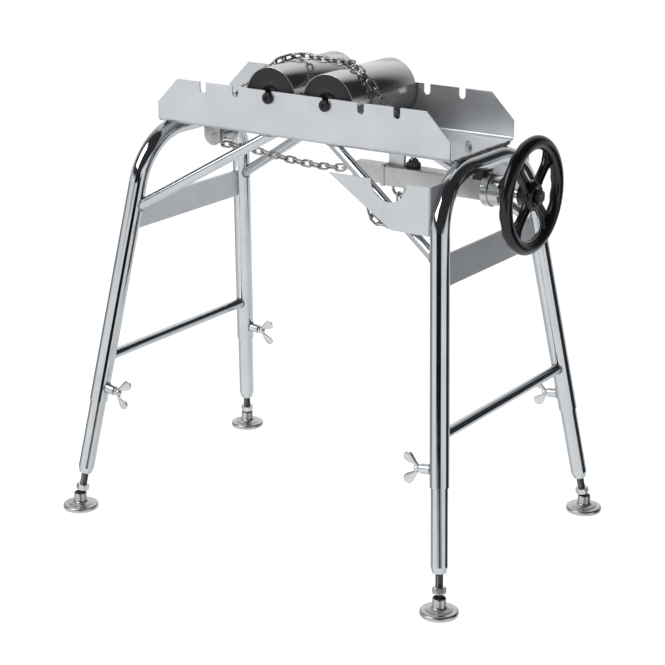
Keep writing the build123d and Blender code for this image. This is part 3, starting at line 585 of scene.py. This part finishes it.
# Half of a spoke's section is 1 wide here, and its heights are in mm: a rib along each edge
SPOKE_SECTION = [
    (-1, -4.6), (-1.03, 0), (-1, 4.4), (-0.93, 5.9), (-0.80, 6.3), (-0.66, 5.8), (-0.58, 3.6), (-0.48, 2.0),
    (-0.2, 1.6), (0.2, 1.6), (0.48, 2.0), (0.58, 3.6), (0.66, 5.8), (0.80, 6.3), (0.93, 5.9), (1, 4.4),
    (1.03, 0), (1, -4.6), (0.5, -5.4), (-0.5, -5.4),
]
WHEEL_HUB_PROFILE = [
    (0.0101, -0.0218), (0.0215, -0.0218), (0.0238, -0.0205), (0.0250, -0.0100), (0.0290, -0.0060),
    (0.0302, 0.0035), (0.0288, 0.0066), (0.0252, 0.0084), (0.0238, 0.0110), (0.0205, 0.0118),
    (0.0101, 0.0118),
]


def rim_shape():
    """A rim that is a little flat inside, with finger scallops at the back."""
    steps, sections = 144, 24
    verts = []
    for i in range(steps):
        angle = 2 * math.pi * i / steps
        scallop = 0.5 + 0.5 * math.cos(angle * SCALLOPS)
        for k in range(sections):
            around = 2 * math.pi * k / sections
            radial, axial = RIM_DEPTH / 2 * math.cos(around), RIM_WIDTH / 2 * math.sin(around)
            if axial < 0:
                axial -= axial * SCALLOP_DEPTH * scallop
            flat = 1 - INNER_FLAT * max(0.0, -math.cos(around))
            radius = WHEEL_OUTER - RIM_DEPTH / 2 + radial * flat
            y, z = radius * math.cos(angle), radius * math.sin(angle)
            verts.append(Vector((WHEEL_X + axial, y, WHEEL_Z + z)))
    return verts, grid_faces(steps, sections, close_rows=True)


def spoke_shape(angle):
    """A double-ribbed spoke that widens towards the hub and the rim."""
    run = Vector((0, math.cos(angle), math.sin(angle)))
    side = Vector((0, -math.sin(angle), math.cos(angle)))
    verts = []
    for row in range(SPOKE_ROWS):
        radius = SPOKE_START + (SPOKE_END - SPOKE_START) * row / (SPOKE_ROWS - 1)
        rim_flare = RIM_FLARE * max(0.0, (radius - RIM_FLARE_START) / RIM_FLARE_LENGTH) ** 2
        hub_flare = HUB_FLARE * max(0.0, (HUB_FLARE_START - radius) / HUB_FLARE_LENGTH) ** 2
        half = (SPOKE_HALF_WIDTH + (rim_flare + hub_flare)) * MM
        for share, height in SPOKE_SECTION:
            middle = Vector((WHEEL_X - SPOKE_BACK + height * MM, 0, WHEEL_Z))
            verts.append(middle + run * radius + side * (share * half))
    return verts, capped_faces(SPOKE_ROWS, len(SPOKE_SECTION))


spokes = [spoke_shape(math.radians(45 + 90 * index)) for index in range(SPOKE_COUNT)]
hub = lathe(WHEEL_HUB_PROFILE, (WHEEL_X, 0, WHEEL_Z), (1, 0, 0), 64, (0, 1, 0), closed=True)
wheel = new_piece("ribbed_handwheel", joined(rim_shape(), *spokes, hub), LOOKS["wheel"], "spindle")
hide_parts("handwheel")
END_NUT_X, END_NUT_THICKNESS, CLOSED_BORE = 0.472, 0.0095, 0.0002
end_nut = nut_rows(NUT_FLATS, END_NUT_X, END_NUT_THICKNESS, CLOSED_BORE)
shape = stand_on(end_nut, Vector((0, 0, WHEEL_Z)), Vector((1, 0, 0)), Vector((0, 1, 0)))
item = new_piece("spindle_end_nut", shape, LOOKS["axle"], "spindle")
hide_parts("wheel_nut")

# Welds
LOWER_BAR_HEIGHT = 0.334
BAR_RADIUS = 0.01065
DIAGONAL_FOOT, DIAGONAL_TOP = (0.372, 0.186, 0.650), (0.086, 0.107, 0.822)
DIAGONAL_WELD_HEIGHT = 0.8278
BUSH_RADIUS = 0.010
BRACE_HEIGHTS, BRACE_HALF = (0.607, 0.635, 0.663), 0.003
TRAY_WELD_X, TRAY_WELD_Y, TRAY_WELD_LENGTH, TRAY_WELD_HEIGHT = 0.3530, -0.105, 0.205, 0.8285
TRAY_WELD_STEPS, TRAY_WELD_WAVE = 40, 0.0008
BAR_BEAD, DIAGONAL_FOOT_BEAD, DIAGONAL_TOP_BEAD = 0.0021, 0.0024, 0.0022
BUSH_BEAD, BRACE_BEAD, TRAY_BEAD = 0.0020, 0.0020, 0.0042
# As shares of a bead's radius: the way between two points, how far they stray, and the least thickness with
# what a ripple and chance add to it; then the thickness of a run's end and what each point adds to that
BEAD_STEP, BEAD_STRAY, BEAD_LEAST, BEAD_RIPPLE, BEAD_CHANCE = 0.38, 0.10, 0.86, 0.20, 0.05
BEAD_END, BEAD_GROWTH = 0.55, 0.25


def bead(points, radius, closed=False):
    """A weld run: overlapping ripples laid along points."""
    points = [Vector(p) for p in points]
    if closed:
        points.append(points[0])
    spans = [(b - a).length for a, b in zip(points, points[1:])]
    total = sum(spans)
    count = max(6, int(total / (radius * BEAD_STEP)))
    run, radii = [], []
    walked, index = 0.0, 0
    for step in range(count + (0 if closed else 1)):
        target = total * step / count
        while index < len(spans) - 1 and walked + spans[index] < target:
            walked += spans[index]
            index += 1
        share = (target - walked) / max(spans[index], 1e-9)
        place = points[index].lerp(points[index + 1], min(share, 1.0))
        stray = Vector((rng.uniform(-1, 1), rng.uniform(-1, 1), rng.uniform(-1, 1)))
        run.append(place + stray * radius * BEAD_STRAY)
        ripple = abs(math.sin(step * math.pi / 4))
        end = 1.0 if closed else min(1.0, BEAD_END + BEAD_GROWTH * min(step, count - step))
        chance = rng.uniform(-BEAD_CHANCE, BEAD_CHANCE)
        radii.append(radius * end * (BEAD_LEAST + BEAD_RIPPLE * ripple + chance))
    return tube_along(run, radii, 8, closed)


def ring_on_tube(point, direction, radius, axis_point, axis_dir, tube_radius):
    """Where a round bar that runs from point along direction meets a round tube, as a ring of points."""
    steps = 20
    direction, axis_dir = Vector(direction).normalized(), Vector(axis_dir).normalized()
    side = direction.orthogonal().normalized()
    other = direction.cross(side)
    ring = []
    for k in range(steps):
        angle = 2 * math.pi * k / steps
        start = Vector(point) + (side * math.cos(angle) + other * math.sin(angle)) * radius
        offset = start - Vector(axis_point)
        u = offset - axis_dir * offset.dot(axis_dir)
        v = direction - axis_dir * direction.dot(axis_dir)
        a, b, c = v.dot(v), 2 * u.dot(v), u.dot(u) - tube_radius ** 2
        root = b * b - 4 * a * c
        if root < 0:
            continue
        ring.append(start + direction * ((-b - math.sqrt(root)) / (2 * a)))
    return ring


def ring_on_level(point, direction, radius, height):
    """Where a round bar meets a level face, as a ring of points."""
    steps = 24
    side = direction.orthogonal().normalized()
    other = direction.cross(side)
    ring = []
    for k in range(steps):
        angle = 2 * math.pi * k / steps
        edge = point + (side * math.cos(angle) + other * math.sin(angle)) * radius
        ring.append(edge + direction * ((height - edge.z) / direction.z))
    return ring


weld_shapes = []
for side, face in CORNERS.values():
    along, inwards, across = leg_axes(side, face)
    low = leg_point(side, face, LOWER_BAR_HEIGHT)
    ring = ring_on_tube(Vector((low.x, 0, low.z)), (0, face, 0), BAR_RADIUS, low, along, TUBE_RADIUS)
    weld_shapes.append(bead(ring, BAR_BEAD, True))
    foot = Vector((side * DIAGONAL_FOOT[0], face * DIAGONAL_FOOT[1], DIAGONAL_FOOT[2]))
    high = Vector((side * DIAGONAL_TOP[0], face * DIAGONAL_TOP[1], DIAGONAL_TOP[2]))
    on_leg = leg_point(side, face, DIAGONAL_FOOT[2])
    ring = ring_on_tube(high, foot - high, BAR_RADIUS, on_leg, along, TUBE_RADIUS)
    weld_shapes.append(bead(ring, DIAGONAL_FOOT_BEAD, True))
    ring = ring_on_level(high, (high - foot).normalized(), BAR_RADIUS, DIAGONAL_WELD_HEIGHT)
    weld_shapes.append(bead(ring, DIAGONAL_TOP_BEAD, True))
    bush = leg_point(side, face, WING_SCREW_HEIGHT)
    ring = ring_on_tube(bush + inwards * 0.05, -inwards, BUSH_RADIUS, bush, along, TUBE_RADIUS)
    weld_shapes.append(bead(ring, BUSH_BEAD, True))
    for sign in (-1, 1):
        line = []
        for height in BRACE_HEIGHTS:
            centre = leg_point(side, face, height)
            plate = Vector((side, 0, SPLAY_X)).normalized() * (sign * BRACE_HALF)
            reach = math.sqrt(TUBE_RADIUS ** 2 - BRACE_HALF ** 2)
            line.append(centre + plate - Vector((0, face, 0)) * reach * 1.01)
        weld_shapes.append(bead(line, BRACE_BEAD))

for side in (-1, 1):
    lump = []
    for step in range(TRAY_WELD_STEPS + 1):
        y = TRAY_WELD_Y + TRAY_WELD_LENGTH * step / TRAY_WELD_STEPS
        z = TRAY_WELD_HEIGHT + rng.uniform(-TRAY_WELD_WAVE, TRAY_WELD_WAVE)
        lump.append(Vector((side * TRAY_WELD_X, y, z)))
    weld_shapes.append(bead(lump, TRAY_BEAD))
new_piece("weld_beads", joined(*weld_shapes), WELD, "stand")


# Chain guide, chain anchor and tensioner mouth
def plate_shape(outline, y_low, y_high):
    """A flat plate across Y from its (x, z) outline."""
    verts = [Vector((x, y, z)) for y in (y_low, y_high) for x, z in outline]
    return verts, capped_faces(2, len(outline))


def square_band(low, high, inner, outer, centre_z):
    """A band round a square tube along X."""
    verts = []
    for x, half in ((low, inner), (low, outer), (high, outer), (high, inner)):
        for y, z in ((-1, -1), (1, -1), (1, 1), (-1, 1)):
            verts.append(Vector((x, y * half, centre_z + z * half)))
    return verts, grid_faces(4, 4, close_rows=True)


# A cheek is round below, cut off straight towards the wheel, and reaches up to the tray
GUIDE_X, GUIDE_Z = -0.275, 0.790
CHEEK_RADIUS, CHEEK_BACK, CHEEK_CUT = 0.022, 0.006, 0.013
CHEEK_INNER, CHEEK_OUTER = 0.026, 0.031
CHEEK_STEPS = 24
TRAY_UNDER = 0.828
first = -math.acos((CHEEK_BACK + CHEEK_CUT) / CHEEK_RADIUS)
outline = [(GUIDE_X + CHEEK_CUT, TRAY_UNDER)]
for step in range(CHEEK_STEPS + 1):
    angle = first - (math.pi + first) * step / CHEEK_STEPS
    x = GUIDE_X - CHEEK_BACK + CHEEK_RADIUS * math.cos(angle)
    outline.append((x, GUIDE_Z + CHEEK_RADIUS * math.sin(angle)))
outline.append((GUIDE_X - CHEEK_BACK - CHEEK_RADIUS, TRAY_UNDER))
front = plate_shape(outline, -CHEEK_OUTER, -CHEEK_INNER)
rear = plate_shape(outline, CHEEK_INNER, CHEEK_OUTER)
item = new_piece("cut_guide_cheeks", joined(front, rear), LOOKS["square_tube"], "stand")
soften(item, width=0.0005, segments=2, angle=40)
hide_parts("guide_cheeks")
PIN_PROFILE = [
    (0.0003, -0.0318), (0.0052, -0.0318), (0.0060, -0.0312), (0.0060, 0.0312), (0.0052, 0.0318),
    (0.0003, 0.0318),
]
shape = lathe(PIN_PROFILE, (GUIDE_X, 0, GUIDE_Z), (0, 1, 0), 32, (1, 0, 0))
item = new_piece("riveted_guide_pin", shape, LOOKS["turned"], "stand")
soften(item, width=0.0002, segments=1, angle=40)
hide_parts("guide_pin")

# The anchor is a block with a narrower one on top, where the CAD lug stands on the square tube; its
# near-black colour is painted shade
# Each block's x from and to, half width, and z from and to
ANCHOR_BLOCKS = ((0.182, 0.208, 0.0070, 0.7768, 0.7890), (0.186, 0.204, 0.0045, 0.7885, 0.7950))
CHAMFER_IN, CHAMFER_DOWN = 0.004, 0.003
blocks = []
for low, high, half, bottom, top in ANCHOR_BLOCKS:
    outline = [(low, bottom), (high, bottom), (high, top - CHAMFER_DOWN)]
    outline += [(high - CHAMFER_IN, top), (low + CHAMFER_IN, top), (low, top - CHAMFER_DOWN)]
    blocks.append(plate_shape(outline, -half, half))
# The saddle material's near-black tone paints the shade that falls here
item = new_piece("anchor_block", joined(*blocks), LOOKS["saddle"], "stand")
soften(item, width=0.0006, segments=2, angle=40)
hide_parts("chain_anchor")

MOUTH_LOW, MOUTH_HIGH, MOUTH_INNER, MOUTH_OUTER = 0.1305, 0.1395, 0.0198, 0.0215
shape = square_band(MOUTH_LOW, MOUTH_HIGH, MOUTH_INNER, MOUTH_OUTER, WHEEL_Z)
item = new_piece("mouth_band", shape, LOOKS["square_tube"], "stand")
soften(item, width=0.0006, segments=2, angle=40)

# Stage
FLOOR_GLOW = 0.80
FLOOR_SHADE = 0.36
FLOOR_HALF = 9
AMBIENT_COLOUR, AMBIENT_STRENGTH = (0.93, 0.95, 1.0, 1), 0.55
# How much red and green a screen's tone keeps beside its blue
SCREEN_RED, SCREEN_GREEN = 0.965, 0.985
CAMERA_TURN, CAMERA_RISE = 34.36, 18.17


def area_light(name, place, target, size, power):
    lamp = bpy.data.lights.new(name, "AREA")
    lamp.shape = "RECTANGLE"
    lamp.size, lamp.size_y = size
    lamp.energy = power
    holder = bpy.data.objects.new(name, lamp)
    holder.location = place
    holder.rotation_euler = (Vector(target) - Vector(place)).to_track_quat("-Z", "Y").to_euler()
    bpy.context.scene.collection.objects.link(holder)
    return holder


def stage_piece(name, verts, faces, material):
    """A mesh that isn't part of the object."""
    mesh = bpy.data.meshes.new(name)
    mesh.from_pydata(verts, [], faces)
    mesh.materials.append(material)
    item = bpy.data.objects.new(name, mesh)
    bpy.context.scene.collection.objects.link(item)


def seen_by(m, *rays):
    """One when any of these kinds of ray looks."""
    path = m.tree.nodes.new("ShaderNodeLightPath")
    seen = path.outputs[rays[0]]
    for ray in rays[1:]:
        either = m.tree.nodes.new("ShaderNodeMath")
        either.operation = "MAXIMUM"
        m.link(seen, either.inputs[0])
        m.link(path.outputs[ray], either.inputs[1])
        seen = either.outputs[0]
    return seen


def mixed(m, factor, first, second):
    """Puts a mix of two shaders on the material's surface."""
    mix = m.tree.nodes.new("ShaderNodeMixShader")
    m.link(factor, mix.inputs[0])
    m.link(first, mix.inputs[1])
    m.link(second, mix.inputs[2])
    m.link(mix.outputs[0], m.tree.nodes["Material Output"].inputs["Surface"])
    return mix.outputs[0]


def floor_material():
    """Pale and matt; seen straight it glows and takes shadow, and reflections look through it."""
    m = Nodes("pale_floor")
    m.put("Base Color", m.blend(m.noise(3.0, detail=3.0), (0.86, 0.86, 0.86), (0.84, 0.84, 0.84)))
    m.put("Roughness", 0.9)
    m.put("Specular IOR Level", 0.0)
    glow = m.tree.nodes.new("ShaderNodeEmission")
    glow.inputs["Strength"].default_value = FLOOR_GLOW
    shaded = m.tree.nodes.new("ShaderNodeBsdfDiffuse")
    shaded.inputs["Color"].default_value = (FLOOR_SHADE, FLOOR_SHADE, FLOOR_SHADE, 1)
    both = m.tree.nodes.new("ShaderNodeAddShader")
    m.link(glow.outputs[0], both.inputs[0])
    m.link(shaded.outputs[0], both.inputs[1])
    seen = mixed(m, seen_by(m, "Is Camera Ray", "Is Transmission Ray"), m.shader.outputs[0], both.outputs[0])
    clear = m.tree.nodes.new("ShaderNodeBsdfTransparent")
    mixed(m, seen_by(m, "Is Glossy Ray"), seen, clear.outputs[0])
    return m.material


def flag_material(name, shade):
    """A dark, slightly blue screen that only reflections show."""
    m = Nodes(name)
    clear = m.tree.nodes.new("ShaderNodeBsdfTransparent")
    dark = m.tree.nodes.new("ShaderNodeEmission")
    dark.inputs["Color"].default_value = (shade * 0.9, shade, shade * 1.15, 1)
    mixed(m, seen_by(m, "Is Glossy Ray"), clear.outputs[0], dark.outputs[0])
    return m.material


def flag(name, centre_turn, width, distance, low, high, shade):
    """A dark screen round the object; turns are degrees to the right of the camera."""
    steps = 12
    verts = []
    for step in range(steps + 1):
        turn = math.radians(CAMERA_TURN + centre_turn + width * (step / steps - 0.5))
        for height in (low, high):
            verts.append((distance * math.sin(turn), -distance * math.cos(turn), height))
    faces = [(2 * i, 2 * i + 2, 2 * i + 3, 2 * i + 1) for i in range(steps)]
    stage_piece(name, verts, faces, flag_material(name, shade))


floor_corners = [(x * FLOOR_HALF, y * FLOOR_HALF, 0) for x, y in ((-1, -1), (1, -1), (1, 1), (-1, 1))]
stage_piece("floor", floor_corners, [(0, 1, 2, 3)], floor_material())
flag("flag_right_rear", centre_turn=86, width=42, distance=2.2, low=-0.7, high=0.62, shade=0.03)

# What polished metal sees, lowest layer first: (degrees right of the camera, tone)
SURROUNDINGS = (
    (
        (-180, 0.95), (-130, 0.6), (-105, 0.7), (-80, 1.0), (30, 0.95), (60, 0.8), (90, 0.75), (120, 0.8),
        (145.64, 0.85),
    ),
    (
        (-180, 0.9), (-140, 0.45), (-128, 0.22), (-108, 0.25), (-96, 0.8), (-75, 1.0), (-8, 0.95), (-3, 0.01),
        (28, 0.01), (34, 0.95), (60, 0.9), (76, 0.8), (108, 0.55), (125, 0.6), (145.64, 0.85),
    ),
    (
        (-180, 1.0), (-130, 0.5), (-100, 0.8), (-60, 0.95), (-48, 0.8), (-40, 0.01), (9, 0.01), (14, 0.9),
        (70, 0.95), (90, 0.5), (98, 0.06), (123, 0.08), (138, 0.5), (145.64, 0.65), (162, 0.9),
    ),
    (
        (-180, 1.0), (-160, 0.85), (-130, 0.3), (-110, 0.06), (-90, 0.04), (105, 0.03), (124, 0.03),
        (140, 0.5), (145.64, 0.6), (164, 0.9),
    ),
)
# The rise of a direction over which each layer gives way to the next
LAYER_EDGES = ((-0.36, -0.30), (-0.05, 0.03), (0.13, 0.24))


def surroundings_ramp(tree, turn, layer):
    """A layer's tone by compass direction."""
    node = tree.nodes.new("ShaderNodeValToRGB")
    stops = sorted((((degrees + CAMERA_TURN + 180) % 360) / 360, tone) for degrees, tone in layer)
    stops.append((1.0, stops[0][1]))
    elements = node.color_ramp.elements
    elements[0].position, elements[1].position = stops[0][0], stops[-1][0]
    for position, _ in stops[1:-1]:
        elements.new(position)
    for element, (_, tone) in zip(elements, stops):
        element.color = (tone * SCREEN_RED, tone * SCREEN_GREEN, tone, 1)
    tree.links.new(turn, node.inputs["Fac"])
    return node.outputs["Color"]


def studio_world():
    """White for the camera; polished metal sees light and dark screens; soft light elsewhere."""
    world = bpy.data.worlds.new("studio")
    bpy.context.scene.world = world
    world.use_nodes = True
    tree = world.node_tree
    ambient = tree.nodes["Background"]
    ambient.inputs["Color"].default_value = AMBIENT_COLOUR
    ambient.inputs["Strength"].default_value = AMBIENT_STRENGTH
    path = tree.nodes.new("ShaderNodeLightPath")
    white = tree.nodes.new("ShaderNodeBackground")
    white.inputs["Color"].default_value = (1, 1, 1, 1)
    screens = tree.nodes.new("ShaderNodeBackground")
    place = tree.nodes.new("ShaderNodeTexCoord")
    split = tree.nodes.new("ShaderNodeSeparateXYZ")
    flipped = tree.nodes.new("ShaderNodeMath")
    flipped.operation = "MULTIPLY"
    flipped.inputs[1].default_value = -1
    turn = tree.nodes.new("ShaderNodeMath")
    turn.operation = "ARCTAN2"
    share = tree.nodes.new("ShaderNodeMapRange")
    for socket, value in (("From Min", -math.pi), ("From Max", math.pi), ("To Min", 0.0), ("To Max", 1.0)):
        share.inputs[socket].default_value = value
    tone = surroundings_ramp(tree, share.outputs["Result"], SURROUNDINGS[0])
    for layer, (low, high) in zip(SURROUNDINGS[1:], LAYER_EDGES):
        rise = tree.nodes.new("ShaderNodeMapRange")
        rise.inputs["From Min"].default_value = low
        rise.inputs["From Max"].default_value = high
        tree.links.new(split.outputs["Z"], rise.inputs["Value"])
        mix = tree.nodes.new("ShaderNodeMix")
        mix.data_type = "RGBA"
        tree.links.new(rise.outputs["Result"], mix.inputs[0])
        tree.links.new(tone, mix.inputs[6])
        tree.links.new(surroundings_ramp(tree, share.outputs["Result"], layer), mix.inputs[7])
        tone = mix.outputs[2]
    first, second = tree.nodes.new("ShaderNodeMixShader"), tree.nodes.new("ShaderNodeMixShader")
    straight = tree.nodes.new("ShaderNodeMath")
    straight.operation = "MAXIMUM"
    for source, target in (
        (place.outputs["Generated"], split.inputs[0]),
        (split.outputs["Y"], flipped.inputs[0]),
        (split.outputs["X"], turn.inputs[0]),
        (flipped.outputs[0], turn.inputs[1]),
        (turn.outputs[0], share.inputs["Value"]),
        (tone, screens.inputs["Color"]),
        (path.outputs["Is Glossy Ray"], first.inputs[0]),
        (ambient.outputs[0], first.inputs[1]),
        (screens.outputs[0], first.inputs[2]),
        (path.outputs["Is Camera Ray"], straight.inputs[0]),
        (path.outputs["Is Transmission Ray"], straight.inputs[1]),
        (straight.outputs[0], second.inputs[0]),
        (first.outputs[0], second.inputs[1]),
        (white.outputs[0], second.inputs[2]),
        (second.outputs[0], tree.nodes["World Output"].inputs["Surface"]),
    ):
        tree.links.new(source, target)


studio_world()

area_light("key", (-1.6, -2.6, 3.2), target=(0, 0, 0.6), size=(2.4, 2.4), power=75)
fill = area_light("fill", (3.2, -1.6, 1.8), target=(0, 0, 0.6), size=(2.0, 2.6), power=30)
rear = area_light("back", (0.6, 3.0, 2.6), target=(0, 0, 0.7), size=(3.0, 1.6), power=35)
fill.visible_glossy = rear.visible_glossy = False

# Camera, fitted to the photo and placed from a point on the stand's axis
FOCAL_PIXELS = 1857.3
FRAME_PIXELS = 665.0
SENSOR_WIDTH = 36.0
AIM = Vector((0, 0, 0.4))
SHIFT_RIGHT, SHIFT_DOWN, DISTANCE = 0.0014, 0.00145, 3.88054
azimuth, elevation = math.radians(CAMERA_TURN), math.radians(CAMERA_RISE)
level = math.cos(elevation)
back = Vector((math.sin(azimuth) * level, -math.cos(azimuth) * level, math.sin(elevation)))
right = Vector((math.cos(azimuth), math.sin(azimuth), 0))
up = back.cross(right)
lens = bpy.data.cameras.new("camera")
lens.sensor_width = SENSOR_WIDTH
lens.lens = SENSOR_WIDTH * FOCAL_PIXELS / FRAME_PIXELS
lens.clip_end = 50.0
camera = bpy.data.objects.new("camera", lens)
place = AIM + right * SHIFT_RIGHT - up * SHIFT_DOWN + back * DISTANCE
camera.matrix_world = Matrix.Translation(place) @ Matrix((right, up, back)).transposed().to_4x4()
bpy.context.scene.collection.objects.link(camera)
bpy.context.scene.camera = camera
bpy.context.scene.view_settings.view_transform = "Standard"
